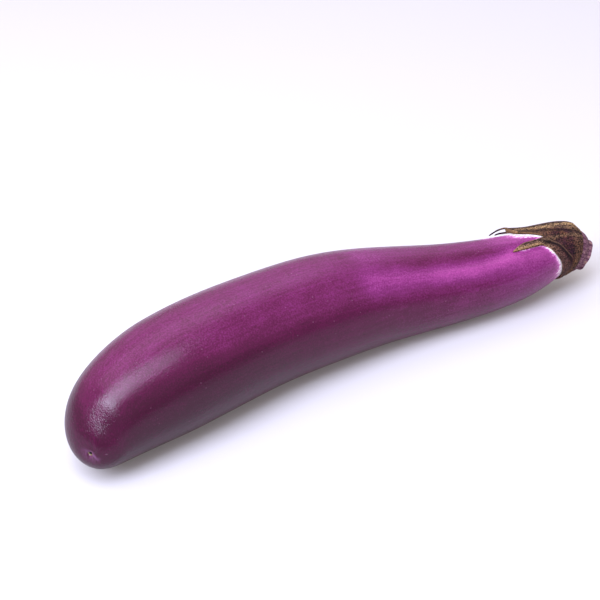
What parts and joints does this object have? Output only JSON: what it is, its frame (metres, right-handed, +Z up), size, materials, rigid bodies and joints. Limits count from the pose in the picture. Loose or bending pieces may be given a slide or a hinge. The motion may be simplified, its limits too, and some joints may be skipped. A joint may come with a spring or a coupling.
{
  "type": "eggplant",
  "caption": "Long slender purple eggplant lying on its side, with a lobed dried calyx that clasps its neck and a short cut stub of stem.",
  "frame": {"origin": "on the table below the middle of the object's bounding box, in the plane of the flat that the fruit rests on", "axes": "+Z up from the table, +X along the length from the blossom end to the stem, +Y to the back"},
  "size_m": [0.2854, 0.0674, 0.0539],
  "materials": {
    "fruit": "satin purple skin",
    "calyx": "matt dry brown leaf",
    "stem": "matt purplish-brown stalk"
  },
  "bodies": {
    "root": {"fruit": "fruit", "calyx": "calyx", "stem": "stem"}
  },
  "joints": []
}
